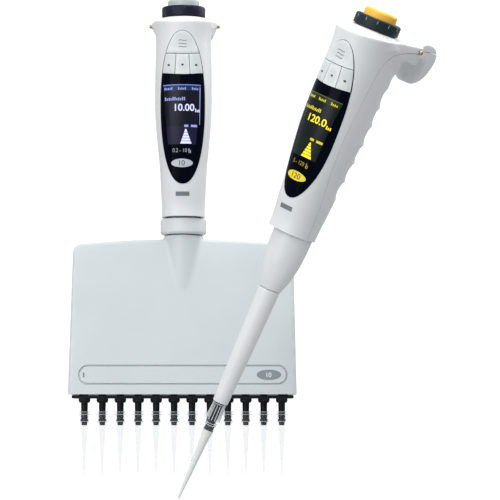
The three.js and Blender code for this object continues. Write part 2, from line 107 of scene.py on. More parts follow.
def named(name):
    piece = bpy.context.object
    piece.name = piece.data.name = name
    return piece


@contextlib.contextmanager
def editing(piece, kind="VERT"):
    only(piece)
    bpy.ops.object.mode_set(mode="EDIT")
    bpy.ops.mesh.select_mode(type=kind)
    yield bmesh.from_edit_mesh(piece.data)
    bpy.ops.object.mode_set(mode="OBJECT")


def pick(mesh, kind, wanted):
    bpy.ops.mesh.select_all(action="DESELECT")
    for item in getattr(mesh, kind):
        item.select = wanted(item)
    mesh.select_flush_mode()


def apply_place(piece):
    only(piece)
    bpy.ops.object.transform_apply(location=True, rotation=True, scale=True)
    return piece


def modified(piece, kind, **settings):
    only(piece)
    modifier = piece.modifiers.new(kind.title(), kind)
    for name, value in settings.items():
        setattr(modifier, name, value)
    bpy.ops.object.modifier_apply(modifier=modifier.name)
    return piece


def cut(piece, tool, operation="DIFFERENCE", keep=False):
    modified(piece, "BOOLEAN", operation=operation, object=tool, solver="MANIFOLD")
    if not keep:
        bpy.data.objects.remove(tool)
    return piece


def soften(piece, width, steps=3, angle=35):
    modified(piece, "BEVEL", width=width, segments=steps, limit_method="ANGLE",
             angle_limit=math.radians(angle))
    return piece


def smooth(piece, angle=40):
    only(piece)
    bpy.ops.object.shade_smooth_by_angle(angle=math.radians(angle))
    return piece


def copy_of(piece, name):
    only(piece)
    bpy.ops.object.duplicate()
    return named(name)


def joined(name, pieces):
    only(*pieces)
    bpy.ops.object.join()
    return named(name)


def around(piece, count):
    """The piece and its copies, spaced evenly round the vertical axis."""
    pieces = [piece]
    for i in range(1, count):
        pieces.append(copy_of(piece, piece.name))
        pieces[-1].data.transform(Matrix.Rotation(math.tau * i / count, 4, "Z"))
    return pieces


# %% [markdown]
# Most of a pipette's lower half is turned work. One vertex is extruded along the profile and the outline is
# spun round the shaft's axis. The doubles at the seam are then merged and the normals made to point out.
# Casings have their outline in the side, front or plan view instead: the outline is laid down corner by
# corner, filled, and extruded into a slab, which then trims another form.

# %% Turned pieces and slabs
THROUGH_FRONT = (-45, -5)  # a slab this deep passes through the handle's whole front wall
FAR = 80  # cutting slabs reach this far past the pieces


def chain(points):
    bpy.ops.object.select_all(action="DESELECT")
    bpy.ops.mesh.primitive_plane_add(size=0.1, location=points[0])
    piece = bpy.context.object
    bpy.ops.object.mode_set(mode="EDIT")
    bpy.ops.mesh.select_mode(type="VERT")
    bpy.ops.mesh.select_all(action="SELECT")
    bpy.ops.mesh.merge(type="CENTER")
    for here, there in zip(points, points[1:]):
        step = [b - a for a, b in zip(here, there)]
        bpy.ops.mesh.extrude_region_move(TRANSFORM_OT_translate={"value": step})
    bpy.ops.mesh.select_all(action="SELECT")
    return piece


def turned(name, profile, sides=64, closed=False, x=0.0):
    """Spins a [radius, z] profile round the vertical through x."""
    points = [(x + radius, 0, z) for radius, z in profile]
    chain(points + points[:1] if closed else points)
    bpy.ops.mesh.spin(steps=sides, angle=math.tau, center=(x, 0, 0), axis=(0, 0, 1))
    bpy.ops.mesh.select_all(action="SELECT")
    bpy.ops.mesh.remove_doubles(threshold=0.002)
    bpy.ops.mesh.normals_make_consistent(inside=False)
    bpy.ops.object.mode_set(mode="OBJECT")
    return apply_place(named(name))


def slab(name, outline, view, low, high):
    """A closed outline in the side (y, z), front (x, z) or plan (x, y) view, extruded between two depths."""
    lift = {
        "side": lambda u, v: (low, u, v),
        "front": lambda u, v: (u, low, v),
        "plan": lambda u, v: (u, v, low)}
    along = {"side": (high - low, 0, 0), "front": (0, high - low, 0), "plan": (0, 0, high - low)}
    chain([lift[view](u, v) for u, v in outline])
    bpy.ops.mesh.edge_face_add()
    bpy.ops.mesh.extrude_region_move(TRANSFORM_OT_translate={"value": along[view]})
    bpy.ops.mesh.select_all(action="SELECT")
    bpy.ops.mesh.normals_make_consistent(inside=False)
    bpy.ops.object.mode_set(mode="OBJECT")
    return apply_place(named(name))


def arc(centre, radius, start, end, steps=6):
    angles = [math.radians(start + (end - start) * i / steps) for i in range(steps + 1)]
    return [(centre[0] + radius * math.cos(a), centre[1] + radius * math.sin(a)) for a in angles]


def eased(points, steps=4):
    """A smooth curve through points, by Catmull and Rom's rule."""
    ends = [points[0], *points, points[-1]]
    curve = []
    for before, a, b, after in zip(ends, ends[1:], ends[2:], ends[3:]):
        for i in range(steps):
            t = i / steps
            curve.append(tuple(
                0.5 * (2 * q + (r - p) * t + (2 * p - 5 * q + 4 * r - s) * t**2
                       + (3 * q - p - 3 * r + s) * t**3)
                for p, q, r, s in zip(before, a, b, after)
            ))
    return curve + [tuple(points[-1])]


def mirrored(side):
    """Half an outline, [half-width, height] from the bottom up, with its mirror image."""
    return list(side) + [(-u, v) for u, v in reversed(side)]


# %% [markdown]
# Finishes. Moulded plastic is never one flat colour: the melt leaves faint clouds in the tone and the tool's
# spark-eroded face leaves a fine grain. Each finish mixes two tones through a slow noise, breaks up the
# roughness with a second noise, and adds a fine bump; where asked, sharp edges are painted lighter, a painted
# highlight. All of them read Object coordinates, in metres, so the patterns stay put at any pose. What is lit
# in the display glows a little, the range printed below it glows faintly, a painted glow, and the clear tips
# let most of the light through.

# %% Finish maker
def finish(name, colour, second, roughness, spread=0.08, clouds=45.0, grain=2600.0, bump=0.05, edge=0.0,
           **fixed):
    material = bpy.data.materials.new(name)
    material.use_nodes = True
    nodes, links = material.node_tree.nodes, material.node_tree.links
    shader = nodes["Principled BSDF"]
    place = nodes.new("ShaderNodeTexCoord")

    def noise(scale, detail):
        node = nodes.new("ShaderNodeTexNoise")
        node.inputs["Scale"].default_value = scale
        node.inputs["Detail"].default_value = detail
        links.new(place.outputs["Object"], node.inputs["Vector"])
        return node.outputs["Fac"]

    def mixed(share, first, other):
        node = nodes.new("ShaderNodeMix")
        node.data_type = "RGBA"
        for socket, value in ((node.inputs["A"], first), (node.inputs["B"], other)):
            if isinstance(value, tuple):
                socket.default_value = (*value, 1)
            else:
                links.new(value, socket)
        links.new(share, node.inputs["Factor"])
        return node.outputs["Result"]

    def ramp(value, low, high, start, end):
        node = nodes.new("ShaderNodeMapRange")
        for socket, number in zip(("From Min", "From Max", "To Min", "To Max"), (low, high, start, end)):
            node.inputs[socket].default_value = number
        links.new(value, node.inputs["Value"])
        return node.outputs["Result"]

    tone = mixed(ramp(noise(clouds, 4), 0.3, 0.7, 0, 1), colour, second)
    # where edge is set, convex edges are painted lighter through Pointiness: a painted highlight on the edges
    if edge:
        edge_highlight_tone = tuple(min(1.0, c + edge * (1 - c)) for c in colour)
        shape = nodes.new("ShaderNodeNewGeometry")
        tone = mixed(ramp(shape.outputs["Pointiness"], 0.53, 0.6, 0, 0.7), tone, edge_highlight_tone)
    links.new(tone, shader.inputs["Base Color"])
    rough = ramp(noise(clouds * 6, 5), 0.25, 0.75, roughness - spread / 2, roughness + spread / 2)
    links.new(rough, shader.inputs["Roughness"])
    relief = nodes.new("ShaderNodeBump")
    relief.inputs["Strength"].default_value = bump
    relief.inputs["Distance"].default_value = 0.0001
    links.new(noise(grain, 2), relief.inputs["Height"])
    links.new(relief.outputs["Normal"], shader.inputs["Normal"])
    for socket, value in fixed.items():
        shader.inputs[socket.replace("_", " ")].default_value = value
    return material


FINISH = {
    "white_shell": finish("white_shell", (0.68, 0.695, 0.71), (0.655, 0.67, 0.685), 0.38, edge=0.5,
                          Subsurface_Weight=0.08, Subsurface_Scale=0.002),
    "grey_block": finish("grey_block", (0.535, 0.57, 0.585), (0.51, 0.545, 0.56), 0.42, edge=0.5),
    "pale_key": finish("pale_key", (0.61, 0.64, 0.65), (0.58, 0.61, 0.62), 0.48, bump=0.08, edge=0.2),
    "black_window": finish("black_window", (0.0006, 0.0012, 0.0045), (0.001, 0.002, 0.007), 0.12,
                           spread=0.05, bump=0.01,
                           Specular_IOR_Level=0.04),
    "navy_wheel": finish("navy_wheel", (0.006, 0.007, 0.026), (0.004, 0.005, 0.018), 0.45, bump=0.1,
                         edge=0.04,
                         Specular_IOR_Level=0.2),
    "slate_wheel": finish("slate_wheel", (0.012, 0.024, 0.028), (0.008, 0.017, 0.021), 0.45, bump=0.1,
                          edge=0.05,
                          Specular_IOR_Level=0.2),
    "pale_button": finish("pale_button", (0.42, 0.475, 0.475), (0.39, 0.44, 0.44), 0.40, edge=0.15),
    "yellow_button": finish("yellow_button", (0.90, 0.52, 0.06), (0.86, 0.46, 0.04), 0.38, edge=0.1,
                            Specular_IOR_Level=0.3),
    "black_plastic": finish("black_plastic", (0.004, 0.004, 0.006), (0.007, 0.007, 0.009), 0.45, bump=0.08,
                            edge=0.03,
                            Specular_IOR_Level=0.15),
    "seal_rubber": finish("seal_rubber", (0.010, 0.010, 0.010), (0.02, 0.02, 0.02), 0.65, bump=0.2),
    "brass_contact": finish("brass_contact", (0.50, 0.36, 0.15), (0.40, 0.27, 0.10), 0.3, clouds=900,
                            Metallic=1.0),
    "steel": finish("steel", (0.52, 0.53, 0.54), (0.42, 0.43, 0.45), 0.32, clouds=300, Metallic=1.0),
    "aluminium_plate": finish("aluminium_plate", (0.66, 0.67, 0.68), (0.58, 0.59, 0.61), 0.36, Metallic=1.0),
    "circuit_green": finish("circuit_green", (0.01, 0.10, 0.035), (0.015, 0.14, 0.05), 0.38, clouds=400),
    "battery_wrap": finish("battery_wrap", (0.02, 0.08, 0.22), (0.03, 0.10, 0.27), 0.30),
    "clear_tip": finish("clear_tip", (0.30, 0.32, 0.33), (0.27, 0.29, 0.30), 0.14, spread=0.04, bump=0.01,
                        Alpha=0.075),
    "frosted_tip": finish("frosted_tip", (0.80, 0.80, 0.795), (0.73, 0.735, 0.73), 0.38, bump=0.12,
                          Alpha=0.92),
}


def glow(name, colour, strength):
    return finish(name, colour, tuple(0.8 * c for c in colour), 0.3, bump=0.0, Emission_Color=(*colour, 1),
                  Emission_Strength=strength, Specular_IOR_Level=0.2)


EXTRA = {  # finish, and the slot of the record that it belongs to
    "ink_grey": (finish("ink_grey", (0.20, 0.21, 0.22), (0.16, 0.17, 0.18), 0.5), "black_plastic"),
    "ink_dark": (finish("ink_dark", (0.02, 0.022, 0.025), (0.03, 0.032, 0.035), 0.5), "black_plastic"),
    "tag_grey": (finish("tag_grey", (0.16, 0.19, 0.20), (0.13, 0.16, 0.17), 0.45), "black_plastic"),
    "badge_silver": (finish("badge_silver", (0.50, 0.54, 0.57), (0.44, 0.48, 0.51), 0.35), "black_window"),
    "badge_yellow": (finish("badge_yellow", (0.85, 0.68, 0.03), (0.80, 0.60, 0.02), 0.35), "black_window"),
    "ring_white": (finish("ring_white", (0.63, 0.655, 0.67), (0.60, 0.625, 0.64), 0.40, edge=0.5),
                   "grey_block"),
    "rim_silver": (finish("rim_silver", (0.62, 0.66, 0.69), (0.55, 0.59, 0.62), 0.3), "white_shell"),
    "badge_grey": (finish("badge_grey", (0.22, 0.25, 0.27), (0.19, 0.22, 0.24), 0.4), "grey_block"),
    "light_mark": (finish("light_mark", (0.62, 0.68, 0.70), (0.54, 0.60, 0.62), 0.4), "slate_wheel"),
    "size_white": (finish("size_white", (0.86, 0.88, 0.89), (0.80, 0.82, 0.83), 0.4), "grey_block"),
    "tip_glint": (finish("tip_glint", (0.80, 0.84, 0.86), (0.72, 0.76, 0.78), 0.2, bump=0.02, Alpha=0.6),
                  "clear_tip"),
    "navy_mark": (finish("navy_mark", (0.05, 0.05, 0.14), (0.04, 0.04, 0.11), 0.4), "navy_wheel"),
    "screen_navy": (glow("screen_navy", (0.002, 0.003, 0.010), 0.3), "black_window"),
    "screen_purple": (glow("screen_purple", (0.007, 0.006, 0.028), 0.4), "black_window"),
    "screen_green": (glow("screen_green", (0.002, 0.005, 0.005), 0.4), "black_window"),
    "screen_moss": (glow("screen_moss", (0.003, 0.008, 0.006), 0.4), "black_window"),
    "band_blue": (glow("band_blue", (0.012, 0.018, 0.075), 0.5), "black_window"),
    "band_moss": (glow("band_moss", (0.008, 0.018, 0.006), 0.5), "black_window"),
    "line_blue": (glow("line_blue", (0.10, 0.20, 0.50), 0.7), "black_window"),
    "line_moss": (glow("line_moss", (0.05, 0.08, 0.01), 0.7), "black_window"),
    "figure_lilac": (glow("figure_lilac", (0.55, 0.56, 0.90), 0.6), "black_window"),
    "figure_yellow": (glow("figure_yellow", (0.80, 0.62, 0.02), 0.7), "black_window"),
    "label_lilac": (glow("label_lilac", (0.26, 0.28, 0.62), 0.5), "black_window"),
    "label_yellow": (glow("label_yellow", (0.60, 0.46, 0.02), 0.5), "black_window"),
    # the range printed on the window below the screen glows faintly, though print gives no light: a painted glow
    "print_silver": (glow("print_silver", (0.36, 0.39, 0.42), 0.1), "black_window"),
    "print_yellow": (glow("print_yellow", (0.42, 0.30, 0.02), 0.1), "black_window"),
    "seal_black": (finish("seal_black", (0.008, 0.010, 0.010), (0.016, 0.018, 0.018), 0.25, bump=0.05),
                   "black_plastic"),
}
for entry in frame["record"]["subparts"]:
    node = frame["nodes"][entry["node"]]
    node.data.materials.clear()
    node.data.materials.append(FINISH[entry["material_slot"]])
print(len(FINISH), "finishes on", len(frame["nodes"]), "CAD nodes")


# %% [markdown]
# Settling a piece. A finished mesh leaves the bench for its place in the frame, gets its finish, and rides
# on the body of the CAD node that it stands for. The leaning pipette has the same handle, so each handle
# piece is modelled once and a copy with a mesh of its own goes to each pipette.

# %% Settling pieces in the frame
def body_of(node):
    return next(name for name, nodes in frame["record"]["behaviour"]["bodies"].items() if node in nodes)


def settle(piece, pipette, body, slot, replaces=(), angle=40):
    piece.data.transform(PLACE[pipette])
    piece.data.update()
    piece.data.materials.clear()
    piece.data.materials.append(FINISH[slot] if slot in FINISH else EXTRA[slot][0])
    smooth(piece, angle)
    if replaces:
        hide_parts(*replaces)
    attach(piece, body)
    return piece


def settle_on_both(piece, node, slots, body=None, angle=40, replace=True):
    """Puts a copy of a handle piece on each pipette, in place of the CAD node of the same name."""
    for pipette in ("multi", "single"):
        name = f"{pipette}_{piece.name}"
        copied = copy_of(piece, f"{name}_detail")
        owner = body_of(f"{pipette}_{node}") if body is None else f"{pipette}_{body}"
        slot = slots if isinstance(slots, str) else slots[pipette]
        settle(copied, pipette, owner, slot, [f"{pipette}_{node}"] if replace else (), angle)
    bpy.data.objects.remove(piece)


def faces(piece):
    return f"{piece.name}: {len(piece.data.polygons)} faces"


# %% [markdown]
# The handle's outer form. A square with its corners bevelled by the right profile is a superellipse, the
# rounded section that fills a hand. It is extruded upwards level by level, and each level is scaled and
# moved to the drawing's half-width, reach to the front and reach to the back, smoothly between the stations.

# %% The handle's outer form
STATIONS = [  # height, half-width, reach ahead of the shaft, reach behind it
    (-3, 10.8, 13.4, 9.7), (0, 10.8, 13.4, 9.7), (6, 10.9, 13.8, 10.1), (15, 11.4, 15.6, 11.0),
    (26, 12.0, 17.3, 11.6), (39, 13.3, 19.4, 12.2), (51, 14.2, 21.1, 12.6), (64, 14.4, 22.3, 12.9),
    (76, 14.2, 23.2, 12.9), (87, 13.9, 24.1, 12.8), (93, 14.1, 25.0, 12.8), (99, 14.6, 25.9, 12.8),
    (110, 14.6, 26.0, 12.8),
]
SECTION_POWER = 2.35
BEVEL_PROFILE = 2 ** (-2 / SECTION_POWER)


def handle_form(name, grow=0.0, bottom=-3.0, top=110.0, corner_steps=16, level_steps=4):
    levels = [s for s in eased(STATIONS, level_steps) if bottom <= s[0] <= top]
    bpy.ops.object.select_all(action="DESELECT")
    bpy.ops.mesh.primitive_plane_add(size=2, location=(0, 0, 0))
    form = named(name)
    bpy.ops.object.mode_set(mode="EDIT")
    bpy.ops.mesh.select_all(action="SELECT")
    bpy.ops.mesh.bevel(offset=1, segments=corner_steps, profile=BEVEL_PROFILE, affect="VERTICES",
                       clamp_overlap=True)
    bpy.ops.mesh.remove_doubles(threshold=0.001)
    bpy.ops.mesh.select_all(action="SELECT")
    height, half_width, middle, half_depth = 0.0, 1.0, 0.0, 1.0
    for i, (z, wide, ahead, behind) in enumerate(levels):
        there = (z, wide + grow, (behind - ahead) / 2, (behind + ahead) / 2 + grow)
        step = (0, there[2] - middle, there[0] - height)
        if i:
            bpy.ops.mesh.extrude_region_move(TRANSFORM_OT_translate={"value": step})
        else:
            bpy.ops.transform.translate(value=step)
        scale = (there[1] / half_width, there[3] / half_depth, 1)
        bpy.ops.transform.resize(value=scale, center_override=(0, there[2], there[0]))
        height, half_width, middle, half_depth = there
    bpy.ops.mesh.select_all(action="SELECT")
    bpy.ops.mesh.normals_make_consistent(inside=False)
    bpy.ops.object.mode_set(mode="OBJECT")
    return apply_place(form)


handle = handle_form("handle_form")
print(faces(handle), "size", [round(v, 1) for v in handle.dimensions])

# %% [markdown]
# The head and the hook. The head is sliced off on a slope that tips the wheel towards the thumb, and a low
# collar rises under the wheel. Behind it an arm carries two small wings with the charging contacts, and
# ends in a leaf that curls down behind the index finger. Side view, plan and back view of the hook are three
# slabs, and what they have in common is the hook. A ball pressed into the leaf's inner face hollows it.

# %% Head, collar and hook
HEAD_FRONT = (-26, 96.6)
HEAD_SLOPE = math.radians(9)
COLLAR = 1.9
HOOK_TOP = [(-2, 100.5), (12.8, 102.6), (26, 105.1), (32.5, 105.3), (37.4, 103.8), (39.6, 100.4), (39.4, 96),
            (37.6, 89), (35.4, 84.2)]
HOOK_UNDER = [(34.0, 84.8), (33.4, 89), (32.2, 93.6), (29.8, 97), (21.5, 97), (18.2, 95), (15.8, 91.5),
              (12.6, 86), (10.6, 80), (9.0, 73), (-2, 73)]
HOOK_PLAN = [(14.2, -4), (15.4, 3), (16.5, 8.5), (16.8, 11.5), (15.6, 14.5), (12.8, 18.5), (10.2, 25),
             (9.0, 33), (8.9, 42)]
WING_SKIRT = [(12.2, 70), (13.0, 78), (13.6, 90), (14.6, 94.5), (16.2, 97.6), (16.9, 99.5), (16.9, 108)]
TAIL_LEAF = [(1.4, 84.0), (4.2, 84.8), (6.6, 87.0), (8.1, 90.5), (8.8, 95), (9.0, 101), (9.0, 108)]
TAIL_START = 30.5
FOOT = {"y": 2.6, "radius": 13.4, "low_radius": 10.2, "top": 93.5}  # rounds the arm into the grip
SCOOP = {"location": (0, 26.4, 89.4), "scale": (7.6, 8.9, 7.3)}  # the ball that hollows the leaf


def on_head(piece):
    """Tilts a piece drawn upright round z = 0 into its place on the head."""
    piece.data.transform(Matrix.Translation(WHEEL_SPOT) @ Matrix.Rotation(WHEEL_TILT, 4, "X"))
    return piece


with editing(handle) as mesh:
    bpy.ops.mesh.select_all(action="SELECT")
    slope = (0, -math.sin(HEAD_SLOPE), math.cos(HEAD_SLOPE))
    bpy.ops.mesh.bisect(plane_co=(0, *HEAD_FRONT), plane_no=slope, use_fill=True, clear_outer=True)

hook = slab("hook", eased(HOOK_TOP) + eased(HOOK_UNDER), "side", -30, 30)
cut(hook, slab("plan", mirrored(eased(HOOK_PLAN)), "plan", 60, 120), "INTERSECT")
skirt = slab("skirt", mirrored(eased(WING_SKIRT)), "front", -10, TAIL_START + 1)
cut(skirt, slab("leaf", mirrored(eased(TAIL_LEAF)), "front", TAIL_START, 50), "UNION")
cut(hook, skirt, "INTERSECT")
root = turned("root", [(0, 60), (FOOT["low_radius"], 60), (FOOT["low_radius"], 76), (FOOT["radius"], 91),
                       (FOOT["radius"], FOOT["top"]), (0, FOOT["top"])])
root.data.transform(Matrix.Translation((0, FOOT["y"], 0)))
tail_gap = TAIL_START - 4
ahead_of_tail = [(-FAR, -FAR), (FAR, -FAR), (FAR, tail_gap), (-FAR, tail_gap)]
trim = slab("trim", ahead_of_tail, "plan", 55, FOOT["top"])
cut(trim, root)
cut(hook, trim)
bpy.ops.object.select_all(action="DESELECT")
bpy.ops.mesh.primitive_uv_sphere_add(segments=48, ring_count=24, radius=1, **SCOOP)
cut(hook, apply_place(named("scoop")))
shoulder = eased([(14.2, -0.4), (12.6, 1.0), (11.0, COLLAR)], 3)
collar = on_head(turned("collar", [(0, -4), (15.4, -4), (15.0, -1.4), *shoulder, (0, COLLAR)]))
print(faces(hook))

# %% [markdown]
# One skin. Body, hook and collar are joined, and a voxel remesh with some smoothing melts them into one even
# skin, with the soft run-outs that a moulded casing has where the wings flare out of its sides. The finger
# grooves wrap round the back of the grip, so they are pressed in with shrink/fatten, in bands that get
# narrower as they get deeper. Remeshing is the quickest way to such blends: loops laid by hand round the
# wing, the arm and the head would take far longer and look no different in satin plastic.

# %% One skin with finger grooves
GROOVES = {"count": 6, "pitch": 9.4, "top": 74.0, "depth": 1.15, "bands": 6}


def groove_share(z):
    """How far a height lies from the middle of the nearest finger groove: 0 there, 1 on the ridges."""
    nearest = min(GROOVES["count"] - 1, max(0, round((GROOVES["top"] - z) / GROOVES["pitch"])))
    return abs(z - GROOVES["top"] + nearest * GROOVES["pitch"]) / (GROOVES["pitch"] / 2)


skin = copy_of(handle, "skin")
cut(skin, hook, "UNION")
cut(skin, collar, "UNION")
modified(skin, "REMESH", mode="VOXEL", voxel_size=0.55)
modified(skin, "SMOOTH", factor=0.5, iterations=9)
back_before = max(v.co.y for v in skin.data.vertices if 73 < v.co.z < 75)
for band in range(GROOVES["bands"]):
    reach = math.sqrt(1 - (band + 0.5) / GROOVES["bands"])
    facing = 0.22 + 0.3 * band / GROOVES["bands"]
    with editing(skin) as mesh:
        mesh.normal_update()
        pick(mesh, "verts", lambda v: v.normal.y > facing and v.co.y < 14 and groove_share(v.co.z) < reach)
        bpy.ops.transform.shrink_fatten(value=-GROOVES["depth"] / GROOVES["bands"])
modified(skin, "SMOOTH", factor=0.5, iterations=3)
back_after = max(v.co.y for v in skin.data.vertices if 73 < v.co.z < 75)
print("grip's back before and after the grooves, mm:", round(back_before, 2), round(back_after, 2))
with editing(skin) as mesh:
    bpy.ops.mesh.select_all(action="SELECT")
    bpy.ops.mesh.bisect(plane_co=(0, 0, 0), plane_no=(0, 0, 1), use_fill=True, clear_inner=True)
print(faces(skin))

# %% [markdown]
# Two shells. The skin is hollowed, gets the well of the operating button and the oval for the window and
# keys, and is parted along a line that runs up the side of the grip and back under the wing. The real
# casing is two mouldings that meet there, so a hair-thin shadow shows along it.

# %% Front and rear shells
SEAM = [(-3.4, -4), (-5.2, 15), (-9.6, 33), (-12.4, 50), (-11.8, 66), (-10.4, 82), (-7.5, 90), (-2, 95),
        (6, 98), (14, 99.6), (26, 101.4), (36, 102.2), (46, 102.4)]
SEAM_GAP = 0.24
OVAL = {"z": 55.5, "half_width": 11.2, "up": 36.2, "down": 39.9, "power": 2.2}
WALL = 2.0
CAVITY_TOP = 93.0
WELL = {"radius": 8.3, "depth": 5.0}


def oval(inset, steps=72):
    points = []
    for i in range(steps):
        across, up = math.cos(math.tau * i / steps), math.sin(math.tau * i / steps)
        reach = (OVAL["up"] if up > 0 else OVAL["down"]) - inset
        bulge = 2 / OVAL["power"]
        points.append((
            (OVAL["half_width"] - inset) * math.copysign(abs(across) ** bulge, across),
            OVAL["z"] + reach * math.copysign(abs(up) ** bulge, up),
        ))
    return points


cavity = handle_form("cavity", -WALL, -3, CAVITY_TOP, 8, 1)
well_floor = COLLAR - WELL["depth"]
well = on_head(turned("well", [(0, well_floor), (WELL["radius"], well_floor), (WELL["radius"], 12), (0, 12)]))
cut(skin, cavity)
cut(skin, well)
seam = eased(SEAM, 3)
front = copy_of(skin, "front_shell")
cut(front, slab("ahead", seam + [(46, 130), (-50, 130), (-50, -4)], "side", -40, 40), "INTERSECT")
behind = []
for y, z in seam:
    upright, lying = [min(1, max(0, share)) for share in ((99 - z) / 8, (z - 84) / 8)]
    behind.append((y + SEAM_GAP * upright, z - SEAM_GAP * lying))
cut(skin, slab("behind", behind + [(60, 102), (60, -4)], "side", -40, 40), "INTERSECT")
cut(front, slab("opening", oval(0), "front", -40, -9))
skin.name = "rear_shell"
print(faces(front), "|", faces(skin))
settle_on_both(front, "front_shell", "white_shell")
settle_on_both(skin, "rear_shell", "white_shell")

# %% [markdown]
# The window and the keys. They carry on the curve of the casing, so each is a piece of the handle's own
# form: a slab of its outline keeps the part of the form inside it, only the front skin is left, and
# Solidify gives it a wall. The four keys stand a hair proud and are parted by narrow gaps. A black sheet
# lies behind them as painted shade, so that the gaps read as dark lines.

# %% Window, keys and gasket
GAP = 0.3
WINDOW_TOP = 70.7
WINDOW_SAG = 1.0
KEY_ROW_TOP = 80.8
KEY_SAG = 0.8
KEY_DIVIDER = (3.85, 3.2)  # at the foot and at the top of the soft keys


def front_piece(name, bottom, top, inset, proud, wall, left=(-20, -20), right=(20, 20)):
    """The part of the handle's front inside the oval and between two curved heights."""
    form = handle_form(name, proud, -3, 99, 16, 4)
    cut(form, slab("oval_tool", oval(inset), "front", -40, -9.5), "INTERSECT")
    xs = [[left[i], *[x for x in range(-12, 13, 2) if left[i] < x < right[i]], right[i]] for i in (0, 1)]
    outline = [(x, bottom(x)) for x in xs[0]] + [(x, top(x)) for x in reversed(xs[1])]
    cut(form, slab("band", outline, "front", -45, -9), "INTERSECT")
    with editing(form, "FACE") as mesh:
        mesh.normal_update()
        pick(mesh, "faces", lambda f: f.normal.y > -0.2 or f.calc_center_median().y > -9.6)
        bpy.ops.mesh.delete(type="FACE")
    modified(form, "SOLIDIFY", thickness=wall, offset=-1)
    return form


def bowed(z, sag):
    """An edge that is level to the eye from below: it dips in the middle, where the casing comes forward."""
    return lambda x: z - sag * (1 - (x / 10) ** 2) if abs(x) < 20 else z + 3 * sag


def level(z):
    return lambda x: z


half = GAP / 2
window = front_piece("display_window", level(5), bowed(WINDOW_TOP - half, WINDOW_SAG), 0.2, 0.0, 1.4)
eject = front_piece("eject_key", bowed(KEY_ROW_TOP + half, KEY_SAG), level(CAVITY_TOP + 5), GAP, 0.25, 1.3)
row = (bowed(WINDOW_TOP + half, WINDOW_SAG), bowed(KEY_ROW_TOP - half, KEY_SAG))
inner_side, outer_side = [tuple(x + side * half for x in KEY_DIVIDER) for side in (-1, 1)]
soft_keys = {
    "soft_key_left": front_piece("soft_key_left", *row, GAP, 0.2, 1.3, right=tuple(-x for x in outer_side)),
    "soft_key_middle": front_piece("soft_key_middle", *row, GAP, 0.2, 1.3, tuple(-x for x in inner_side),
                                   inner_side),
    "soft_key_right": front_piece("soft_key_right", *row, GAP, 0.2, 1.3, left=outer_side),
}
for key in (eject, *soft_keys.values()):
    soften(key, 0.16, 2, 50)
# a black sheet behind the keys, put there as painted shade so that the gaps between them read dark
gap_shade_sheet = front_piece("key_gasket", level(WINDOW_TOP - 3), level(CAVITY_TOP - 1), -0.8, -2.7, 0.5)
print(faces(window), "|", faces(eject), "|", faces(gap_shade_sheet))
settle_on_both(window, "display_window", "black_window")
settle_on_both(eject, "eject_key", "pale_key")
for name, key in soft_keys.items():
    settle_on_both(key, name, "pale_key")
settle_on_both(gap_shade_sheet, "front_shell", "seal_rubber", "handle", replace=False)
# a thin band of its own tone round the window's oval: a painted reflection of the casing's rounded edge there
rim = front_piece("oval_rim", level(5), bowed(WINDOW_TOP, WINDOW_SAG), -0.22, 0.06, 0.3)
cut(rim, slab("rim_inside", oval(0.08), "front", *THROUGH_FRONT))
settle_on_both(rim, "front_shell", "rim_silver", "handle", replace=False)

# %% [markdown]
# Print and display. Marks on a curved casing are pad-printed, so they follow its surface. Each mark is drawn
# in the front view as a slab, and what it has in common with a very thin skin of the casing is the printed
# layer. Words are left as rows of plain strokes; only figures are written out.

# %% Printing tools
SKIN_OVERHANG = -0.4  # the skins reach this far past the oval
SKIN_FOOT = 12


def front_skin(name, proud, wall, bottom, top):
    return front_piece(name, level(bottom), level(top), SKIN_OVERHANG, proud, wall)


window_skin = front_skin("window_skin", 0.03, 0.06, SKIN_FOOT, WINDOW_TOP)
ink_skin = front_skin("ink_skin", 0.07, 0.06, SKIN_FOOT, WINDOW_TOP)
key_skin = front_skin("key_skin", 0.30, 0.08, WINDOW_TOP, CAVITY_TOP + 2)
shell_form = handle_form("shell_skin", 0.13, -3, 30)
with editing(shell_form, "FACE") as mesh:
    mesh.normal_update()
    pick(mesh, "faces", lambda f: f.normal.y > -0.3 or not 2 < f.calc_center_median().z < 28)
    bpy.ops.mesh.delete(type="FACE")
shell_skin = modified(shell_form, "SOLIDIFY", thickness=0.12, offset=-1)


def printed(name, slabs, skin, pipettes, colour, body="handle"):
    """Keeps the part of a thin skin inside some slabs, as print on one or both pipettes."""
    mark = joined(name, slabs) if len(slabs) > 1 else slabs[0]
    mark.name = name
    cut(mark, skin, "INTERSECT", keep=True)
    for pipette in pipettes:
        settle(copy_of(mark, f"{pipette}_{name}"), pipette, f"{pipette}_{body}", colour)
    bpy.data.objects.remove(mark)


def bar(x0, x1, z0, z1):
    return slab("bar", [(x0, z0), (x1, z0), (x1, z1), (x0, z1)], "front", *THROUGH_FRONT)


def ellipse(x, z, half_width, half_height, steps=40):
    turns = [math.tau * i / steps for i in range(steps)]
    return slab("ellipse", [(x + half_width * math.cos(a), z + half_height * math.sin(a)) for a in turns],
                "front", *THROUGH_FRONT)


def strokes(x0, x1, z0, z1, step=0.85):
    """A word as a row of plain strokes, some of them short."""
    count = round((x1 - x0) / step)
    tops = [z1 - (0.0, 0.35, 0.2, 0.35, 0.0)[i % 5] * (z1 - z0) for i in range(count)]
    return [bar(x0 + i * step, x0 + (i + 0.62) * step, z0, top) for i, top in enumerate(tops)]


